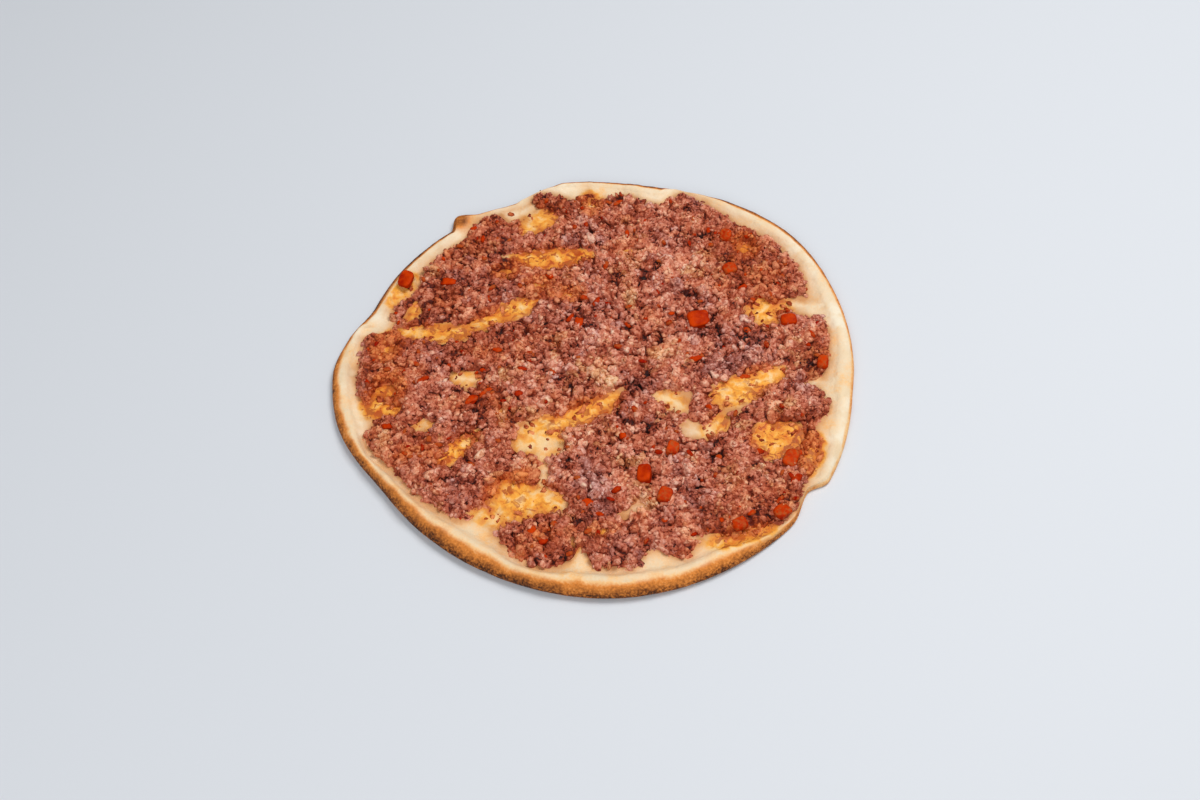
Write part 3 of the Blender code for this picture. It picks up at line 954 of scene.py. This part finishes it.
        # Beside the meat the bread is darkened: stain from the meat's juices and painted shade of the
        # meat's edge.
        reach_out = 2.3 + 1.5 * self.noise.at(points + 0.5, 12 * MM)
        juice_and_shade = np.where(on_top, 0.95 * np.exp(outside / reach_out), 0) * (1 - 0.4 * oil)
        floury = self.flour(turn) * ease(-0.55, 0.2, self.noise.at(points, 13 * MM))
        floury *= (1 - golden) * (1 - burnt)
        marks = {"toast": toast, "speck": speck, "oil": oil, "juice_and_shade": juice_and_shade,
                 "floury": floury * (1 - oil) * (1 - juice_and_shade)}
        return make_shell("baked_crust", points, (PLAN.pan_top * MM, 0), self.around, material, marks)


@dataclass
class MinceBed:
    """The pressed layer of mince under the loose grains."""

    around: int = 620
    rings: int = 120
    depth: float = 2.2
    clump_height: float = 1.5
    own_height: float = 1.0
    sunk: float = 1.5
    noise: Noise = Noise(23)
    clumps: Cells = Cells(24, 5.6 * MM)
    lumps: Cells = Cells(25, 3.0 * MM)

    def pits(self, points: Array) -> Array:
        """How deep in a crevice each point is, from 0 to 1.

        Crevices run along the borders of two sizes of cells, and noise closes up many of them.

        Args:
            points: Points on the plan, in metres.

        Returns:
            One value for each point.
        """
        wander = points + 0.9 * MM * np.stack([self.noise.at(points, 3 * MM, 1),
                                               self.noise.at(points + 0.1, 3 * MM, 1)], -1)
        room, _ = self.clumps.at(wander)
        fine_room, _ = self.lumps.at(wander)
        open_ = ease(-0.15, 0.35, self.noise.at(points, 6 * MM))
        fine_open = ease(-0.05, 0.45, self.noise.at(points + 0.2, 4 * MM))
        return np.maximum((1 - ease(0.04, 0.34, room)) * open_,
                          (1 - ease(0.05, 0.45, fine_room)) * fine_open)

    def top(self, points: Array) -> Array:
        """Height of the layer at each point, in millimetres.

        The layer thickens from its outline as a smooth step. Each clump is a dome of its own
        height, with crevices between clumps. On bare bread the layer lies hidden in the dough.

        Args:
            points: Points on the plan, in metres.

        Returns:
            One height for each point.
        """
        full = ease(-0.6, 3.0, PLAN.cover(points, self.noise))
        room, own = self.clumps.at(points)
        swell = self.depth + self.clump_height * ease(0, 0.55, room) + self.own_height * own
        swell += 0.45 * self.noise.at(points, 9 * MM) + 0.6 * self.noise.at(points, 26 * MM)
        swell += 0.35 * self.noise.at(points, 2.4 * MM) - 1.5 * self.pits(points)
        return PLAN.pan_top - 0.9 + (0.9 + swell) * full

    def tone(self, points: Array) -> Array:
        """How light the mince is round each point, with painted shade in crevices and holes, before each
        grain's own part is added.

        Args:
            points: Points on the plan, in metres.

        Returns:
            One value for each point.
        """
        _, own = self.clumps.at(points)
        tone = 0.57 + 0.20 * (own - 0.5) + 0.24 * self.noise.at(points, 9 * MM)
        # Painted shade: the mince is darkened in its crevices.
        tone += 0.20 * strongest(PLAN.fatty, points) - 0.40 * self.pits(points)
        tone += 0.20 * strongest(PLAN.thin, points) - 0.13 * strongest(PLAN.rosy, points)
        # Painted shade: near black in the spots of deep holes.
        return tone - 0.55 * strongest(PLAN.hole_shade, points)

    def hue(self, points: Array) -> Array:
        """How warm the mince's brown is round each point: mauve near 0, rosy at 0.5, tan near 1.

        Args:
            points: Points on the plan, in metres.

        Returns:
            One value for each point.
        """
        wide = self.noise.at(points + 0.3, 20 * MM)
        near = self.noise.at(points + 0.6, 6 * MM)
        return 0.46 + 0.42 * wide + 0.40 * near + 0.22 * strongest(PLAN.fatty, points)

    def oil(self, points: Array) -> Array:
        """How red and oily the mince is at each point, from 0 to 1.

        Args:
            points: Points on the plan, in metres.

        Returns:
            One value for each point.
        """
        _, own = self.lumps.at(points)
        blush = 0.45 * strongest(PLAN.rosy, points) + 0.55 * self.noise.at(points, 9 * MM)
        blush += 0.20 * (own - 0.5) + 0.40 * self.noise.at(points + 0.9, 4 * MM)
        return np.clip(np.maximum(PLAN.soaked(points, self.noise), 0.12 + blush), 0, 1)

    def build(self, material: Material) -> Object:
        """Makes the layer as a closed shell with a flat underside inside the dough.

        Args:
            material: The mince's finish.

        Returns:
            The layer.
        """
        angle = np.linspace(0, TURN, self.around, endpoint=False)
        reach = PLAN.meat_reach(angle) + 1.0
        shares = np.concatenate([np.linspace(0.01, 1, self.rings), [0.5, 0.02]])[:, None]
        flat = spread(shares * reach, angle)
        height = self.top(flat)
        height[self.rings * self.around:] = PLAN.pan_top - self.sunk
        # The layer is made darker than the grains, as painted shade where it shows between them.
        marks = {"tone": self.tone(flat) - 0.08, "hue": self.hue(flat), "oil": self.oil(flat)}
        return make_shell("mince_layer", np.column_stack([flat, height * MM]),
                          (height[0] * MM, height[-1] * MM), self.around, material, marks)


class Kind(Enum):
    """What a batch of loose grains is."""

    MINCE = auto()    # grains half sunk in the layer of mince
    CRUMB = auto()    # dark crumbs of sauce on the bare bread, thickest near the meat
    SCRAP = auto()    # scraps of tomato on the mince, most of them where it is rosy


@dataclass(frozen=True)
class Batch:
    """One batch of loose grains: how large, how it is spread and how it looks."""

    name: str
    seed: int
    spacing: float
    size: Pair
    lift: float
    around: int
    rings: int
    tone: float = 0.0
    unlike: float = 0.16
    long: float = 2.0
    knobbly: float = 0.52
    flatten: float = 0.8
    kind: Kind = Kind.MINCE


@dataclass
class Grains:
    """Loose grains, each a knobbly ball of a few dozen triangles, joined in one mesh a batch."""

    crust: Crust
    bed: MinceBed
    crevice: float = 1.2
    # Depth in millimetres over which the painted shade on the grains' lower parts grows to full
    # strength.
    dip: float = 1.5
    lowest: float = 1.2
    reach: float = 120.0

    @staticmethod
    def turns(count: int, rng: np.random.Generator) -> Array:
        """Random turns, as matrices from unit quaternions.

        Args:
            count: How many.
            rng: The batch's own random draw.

        Returns:
            One matrix for each grain.
        """
        q = rng.normal(size=(count, 4))
        w, x, y, z = (q / np.linalg.norm(q, axis=1)[:, None]).T
        return np.stack([
            np.stack([1 - 2 * (y * y + z * z), 2 * (x * y - w * z), 2 * (x * z + w * y)], -1),
            np.stack([2 * (x * y + w * z), 1 - 2 * (x * x + z * z), 2 * (y * z - w * x)], -1),
            np.stack([2 * (x * z - w * y), 2 * (y * z + w * x), 1 - 2 * (x * x + y * y)], -1)], 1)

    def lattice(self, spacing: float, rng: np.random.Generator) -> Array:
        """A triangular lattice over the whole plan, shaken.

        Args:
            spacing: Distance between neighbours, in millimetres.
            rng: The batch's own random draw.

        Returns:
            Points on the plan, in metres.
        """
        step, reach = spacing * MM, self.reach * MM
        rows = np.arange(-reach, reach, step * math.sqrt(3) / 2)
        columns = np.arange(-reach, reach, step)
        x = columns[None, :] + step / 2 * (np.arange(len(rows)) % 2)[:, None]
        y = np.broadcast_to(rows[:, None], x.shape)
        points = np.stack([x.ravel(), y.ravel()], -1)
        return points + rng.uniform(-0.42, 0.42, points.shape) * step

    def chance(self, batch: Batch, places: Array) -> Array:
        """How likely a grain is at each place, from its kind, the cover of meat and the crevices.

        Args:
            batch: The batch of grains.
            places: Points on the plan, in metres.

        Returns:
            One chance for each place, 0 for never.
        """
        inside = PLAN.cover(places, self.bed.noise)
        largest = batch.size[1]
        if batch.kind is Kind.MINCE:
            kept_clear = ease(0, self.crevice / largest, self.bed.pits(places))
            chance = ease(-0.9, 0.4, inside) * (1 - 0.97 * kept_clear)
            return chance * ease(0.3 * largest, 0.6 * largest, within(PLAN.bread_reach, places))
        if batch.kind is Kind.SCRAP:
            return ease(0, 1.5, inside) * (0.16 + 0.42 * strongest(PLAN.rosy, places))
        gather = ease(-0.1, 0.6, self.bed.noise.at(places, 6 * MM))
        near = ease(0.02, 0.30, strongest(PLAN.bare + PLAN.thin, places))
        chance = np.where(inside < 0, near * (0.06 + 0.75 * gather * np.exp(inside / 2.6)), 0)
        chance *= 0.1 + 0.9 * ease(0.10, 0.45, PLAN.soaked(places, self.bed.noise))
        return chance * ease(*PLAN.crumb_room, within(PLAN.bread_reach, places))

    def build(self, batch: Batch, material: Material) -> Object:
        """Strews balls knobbled by noise, stretched and turned, with painted shade making their lower
        parts darker.

        What would reach below the dough is pressed flat inside it.

        Args:
            batch: The batch of grains.
            material: The grains' finish.

        Returns:
            The batch as one piece.
        """
        rng = np.random.default_rng(batch.seed)
        places = self.lattice(batch.spacing, rng)
        places = places[rng.uniform(size=len(places)) < self.chance(batch, places)]
        count = len(places)
        tone = batch.tone + rng.uniform(-batch.unlike, batch.unlike, count)
        oil = np.ones(count)
        if batch.kind is Kind.MINCE:
            tone += self.bed.tone(places)
            oil = self.bed.oil(places) + rng.uniform(-0.08, 0.08, count)
        elif batch.kind is Kind.CRUMB:
            oil = rng.uniform(0.9, 1, count)
        ground = self.crust.surface if batch.kind is Kind.CRUMB else self.bed.top
        heights = ground(places) + batch.lift

        ball, triangles = unit_ball(batch.around, batch.rings)
        size = rng.uniform(*batch.size, count) / 2
        stretch = rng.uniform(0.7, 1, (count, 3))
        stretch[:, 0] = rng.uniform(1, batch.long, count)
        own = rng.uniform(-50, 50, (count, 1, 3))
        knob = 1 + batch.knobbly * self.bed.noise.at((ball + own).reshape(-1, 3), 0.9)
        shaped = ball * knob.reshape(count, -1, 1) * (size[:, None] * stretch)[:, None]
        turned = np.einsum("nij,nkj->nki", self.turns(count, rng), shaped) * (1, 1, batch.flatten)
        centres = np.column_stack([places / MM, heights + rng.uniform(-0.45, 0.35, count)])
        points = (turned + centres[:, None]) * MM
        ceiling = CAD_BOX[1].z - 0.5 * MM
        over = np.maximum(points[:, :, 2].max(axis=1) - ceiling, 0)
        points[:, :, 2] = np.maximum(points[:, :, 2] - over[:, None], self.lowest * MM)
        # Painted shade: points of a grain below the mince's top are darkened, for the shade between
        # grains.
        lower = np.clip((heights[:, None] + 0.3 - points[:, :, 2] / MM) / self.dip, 0, 1)
        hue = self.bed.hue(places) + rng.uniform(-0.15, 0.15, count)
        marks = {"tone": np.clip(tone[:, None] - 0.12 * lower, 0, 1), "hue": hue[:, None],
                 "oil": np.clip(oil, 0, 1)[:, None], "gravy": rng.uniform(0, 0.75, (count, 1))}
        return make_batch(batch.name, points, triangles, material, marks)


@dataclass
class TomatoChips:
    """Larger flat scraps of tomato, each at its own place on the mince."""

    bed: MinceBed
    places: Patches
    thick: float = 1.8
    square: float = 0.75
    around: int = 16
    rings: int = 7
    seed: int = 51

    def build(self, name: str, material: Material) -> Object:
        """Makes each chip as a squared ball, knobbled, scaled, tilted, turned and set down.

        Args:
            name: The piece's name.
            material: The tomato's finish.

        Returns:
            All the chips as one piece.
        """
        rng = np.random.default_rng(self.seed)
        ball, triangles = unit_ball(self.around, self.rings, self.square)
        count = len(self.places)
        own = rng.uniform(-50, 50, (count, 1, 3))
        knob = 0.9 + 0.75 * self.bed.noise.at((ball + own).reshape(-1, 3), 0.8, 3)
        half = np.array([(p.length / 2, p.width / 2, self.thick / 2) for p in self.places])
        shaped = ball * knob.reshape(count, -1, 1) * half[:, None]
        shaped[:, :, 2] += shaped[:, :, 0] * rng.uniform(-0.25, 0.25, (count, 1))
        turn = np.radians([p.turn for p in self.places])
        c, s = np.cos(turn)[:, None], np.sin(turn)[:, None]
        middles = np.array([(p.x, p.y) for p in self.places])
        heights = self.bed.top(middles * MM) + 0.35
        points = np.stack([shaped[:, :, 0] * c - shaped[:, :, 1] * s + middles[:, :1],
                           shaped[:, :, 0] * s + shaped[:, :, 1] * c + middles[:, 1:],
                           shaped[:, :, 2] + heights[:, None]], -1) * MM
        # Lighter towards the top.
        tone = np.clip(rng.uniform(0.1, 0.6, (count, 1)) + 0.3 * ball[None, :, 2], 0, 1)
        marks = {"tone": tone, "gravy": rng.uniform(0, 0.45, (count, 1))}
        return make_batch(name, points, triangles, material, marks)


@dataclass
class TomatoDie:
    """One cut piece of tomato that stands for a die of the frame."""

    node: str
    gravy: float
    around: int = 36
    rings: int = 19
    square: float = 0.56
    noise: Noise = Noise(31)

    def frame_of(self) -> tuple[Array, Array, Array]:
        """Middle, axes and half sizes of the die, read from its solid.

        The top's direction is the mean normal of its upward faces, weighted by area. The turn
        is the fourfold mean of the side faces' directions, so all four sides agree.

        Returns:
            Middle in metres, axes as columns, and half sizes in metres.
        """
        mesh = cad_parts[self.node].data
        mesh.calc_loop_triangles()
        corners = np.zeros(len(mesh.vertices) * 3)
        mesh.vertices.foreach_get("co", corners)
        corners = corners.reshape(-1, 3)
        index = np.zeros(len(mesh.loop_triangles) * 3, int)
        mesh.loop_triangles.foreach_get("vertices", index)
        tri = corners[index.reshape(-1, 3)]
        normal = np.cross(tri[:, 1] - tri[:, 0], tri[:, 2] - tri[:, 0])
        size = np.maximum(np.linalg.norm(normal, axis=1), 1e-15)
        up = normal[normal[:, 2] > 0.85 * size].sum(axis=0)
        up /= np.linalg.norm(up)
        side = np.abs(normal[:, 2]) < 0.35 * size
        heading = np.arctan2(normal[side, 1], normal[side, 0])
        turn = np.angle((size[side] * np.exp(4j * heading)).sum()) / 4
        along = np.array([math.cos(turn), math.sin(turn), 0])
        along -= up * (along @ up)
        along /= np.linalg.norm(along)
        axes = np.stack([along, np.cross(up, along), up], axis=1)
        local = corners @ axes
        low, high = local.min(axis=0), local.max(axis=0)
        return axes @ ((low + high) / 2), axes, (high - low) / 2

    def build(self, material: Material) -> Object:
        """Makes the die as a squared ball, worn by noise and sunk a little on top.

        Args:
            material: The tomato's finish.

        Returns:
            The die.
        """
        middle, axes, half = self.frame_of()
        ball, triangles = unit_ball(self.around, self.rings, self.square)
        top = np.maximum(ball[:, 2], 0)
        wear = self.noise.at(ball * 4 * MM + middle, 4 * MM)
        shape = ball * (0.95 + 0.14 * wear)[:, None]
        shape[:, 2] -= 0.10 * top * (1 - np.hypot(ball[:, 0], ball[:, 1]) / 1.5)
        # Lighter towards the top.
        tone = np.clip(0.35 + 0.5 * wear + 0.25 * top, 0, 1)
        return make_piece("cooked_" + self.node, middle + (shape * half) @ axes.T, triangles,
                          material, {"tone": tone, "gravy": np.full(len(tone), self.gravy)})


# The studio

@dataclass(frozen=True)
class Studio:
    """Floor, lights and camera."""

    image: tuple[int, int] = (1200, 800)
    focal_pixels: float = 1531.5
    optical_axis: Pair = (597.0, 394.0)
    elevation: float = 54.98
    roll: float = -2.1
    distance: float = 704.7
    look: Triple = (0.67, -19.59, 12.0)
    floor_colour: Triple = (0.70, 0.74, 0.80)

    def camera(self) -> None:
        """Sets the camera where the photograph was taken from."""
        data = bpy.data.cameras.new("viewpoint")
        data.sensor_width = 36
        data.lens = data.sensor_width * self.focal_pixels / self.image[0]
        data.shift_x = (self.image[0] / 2 - self.optical_axis[0]) / self.image[0]
        data.shift_y = (self.optical_axis[1] - self.image[1] / 2) / self.image[0]
        data.clip_start = 10 * MM
        data.clip_end = 20
        e, r = math.radians(self.elevation), math.radians(self.roll)
        forward = Vector((0, math.cos(e), -math.sin(e)))
        right, up = Vector((1, 0, 0)), Vector((0, math.sin(e), math.cos(e)))
        x_axis = math.cos(r) * right + math.sin(r) * up
        y_axis = -math.sin(r) * right + math.cos(r) * up
        look = Vector(self.look) * MM - Vector((*MIDDLE, 0))
        turn = Matrix((x_axis, y_axis, -forward)).transposed().to_4x4()
        camera = add_object("viewpoint", data)
        camera.matrix_world = Matrix.Translation(look - self.distance * MM * forward) @ turn
        bpy.context.scene.camera = camera

    def floor(self) -> None:
        """Lays a plain pale floor at the height that the pie rests on."""
        recipe = Recipe("pale_floor")
        recipe.fill(recipe.shader, Base_Color=self.floor_colour, Roughness=0.6)
        mesh = bpy.data.meshes.new("floor")
        mesh.from_pydata([(-3, -3, 0), (3, -3, 0), (3, 3, 0), (-3, 3, 0)], [], [(0, 1, 2, 3)])
        mesh.materials.append(recipe.material)
        add_object("floor", mesh)

    def light(self, name: str, place: Triple, size: float, power: float, colour: Triple) -> None:
        """Adds a square soft light that faces the pie.

        Args:
            name: The light's name.
            place: Where it stands, in metres.
            size: Its side, in metres.
            power: Its power in watts.
            colour: Its colour.
        """
        data = bpy.data.lights.new(name, "AREA")
        data.shape = "SQUARE"
        data.size = size
        data.energy = power
        data.color = colour
        lamp = add_object(name, data)
        lamp.location = place
        lamp.rotation_euler = (-Vector(place)).to_track_quat("-Z", "Y").to_euler()

    def build(self) -> None:
        """Sets up the floor, a key light from behind on the right, a fill and soft air.

        The plain view transform keeps the finishes' colours as they are given.
        """
        self.camera()
        self.floor()
        self.light("key", (0.62, 0.34, 1.32), 0.70, 14.5, (1.0, 0.98, 0.95))
        self.light("fill", (-0.35, -0.90, 1.05), 1.2, 8.5, (1.0, 0.98, 0.96))
        world = bpy.data.worlds.new("soft_air")
        world.use_nodes = True
        air = world.node_tree.nodes["Background"]
        air.inputs["Color"].default_value = (0.96, 0.98, 1.0, 1)
        air.inputs["Strength"].default_value = 0.24
        bpy.context.scene.world = world
        bpy.context.scene.view_settings.view_transform = "Standard"


BATCHES = (
    Batch("mince_lumps", 41, 4.2, (3.6, 5.6), -1.9, 8, 3, 0.02, 0.14, 1.8, 0.55),
    Batch("mince_grains_coarse", 42, 3.4, (2.4, 3.9), -1.1, 8, 3, 0.02, 0.14, 2.2, 0.60),
    Batch("mince_grains_medium", 43, 3.0, (1.6, 2.9), -0.55, 6, 3, 0.0, 0.13, 2.4, 0.65),
    Batch("mince_grains_fine", 44, 2.9, (1.2, 2.1), -0.1, 6, 2, 0.0, 0.14),
    Batch("mince_crumbs", 45, 3.6, (0.9, 1.5), 0.15, 6, 2, -0.02, 0.18),
    Batch("sauce_crumbs", 46, 1.7, (0.5, 3.2), -0.15, 8, 3, 0.52, 0.26, 2.2, 1.2, 0.4, Kind.CRUMB),
)
RED_SCRAPS = Batch("red_scraps", 47, 6.0, (1.6, 3.4), 0.15, 8, 3, 0.35, 0.35, 2.2, 0.5, 0.6, Kind.SCRAP)
CLEAN_DICE = ("tomato_01", "tomato_02", "tomato_03", "tomato_12")
SMEARED = 0.35
PLACED_SCRAPS = patches(
    (79, 77.5, 5, 4), (-86, 43, 11, 5, 75), (-70, 52.5, 8, 5, 10), (-58, -17.5, 7, 5, 60),
    (-6, -74, 7, 5), (-7, 26, 8, 4.5, 80), (74, 44, 5, 4, 50), (-80, -5, 6, 3, 20), (-96, -31, 5, 3.5),
    (73, -51, 4, 3), (46, 2, 9, 4, 5), (70, -7, 5, 3), (-36, -14, 4, 3, 30), (-51, -13, 9, 2.5, 40),
    (5, -26, 5, 4, 20), (88, -66, 6, 4, 60), (12, -40, 4, 3), (-25, -94, 4, 3), (-30, -88, 5, 3, 30),
    (-58, 88, 5, 3, 20), (-20, 55, 5, 3))


def main() -> None:
    """Builds the pie piece by piece, then the studio."""
    logging.basicConfig(level=logging.INFO, format="%(message)s")
    dough = DoughFinish().make()
    mince = MinceFinish().make()
    tomato = TomatoFinish().make()

    baked = Crust()
    crust = baked.build(dough)
    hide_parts("bread")
    bed = MinceBed()
    layer = bed.build(mince)
    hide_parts("minced_meat")
    grains = Grains(baked, bed)
    minced = [layer, *(grains.build(batch, mince) for batch in BATCHES)]
    red = [grains.build(RED_SCRAPS, tomato), TomatoChips(bed, PLACED_SCRAPS).build("red_chips", tomato)]
    for node in sorted(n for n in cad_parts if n.startswith("tomato_")):
        die = TomatoDie(node, 0.0 if node in CLEAN_DICE else SMEARED).build(tomato)
        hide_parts(node)
        red.append(die)
    for piece in [crust, *minced, *red]:
        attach(piece, "root")
        LOG.info("%s: %d triangles", piece.name, len(piece.data.polygons))

    Studio().build()


if __name__ == "__main__":
    main()
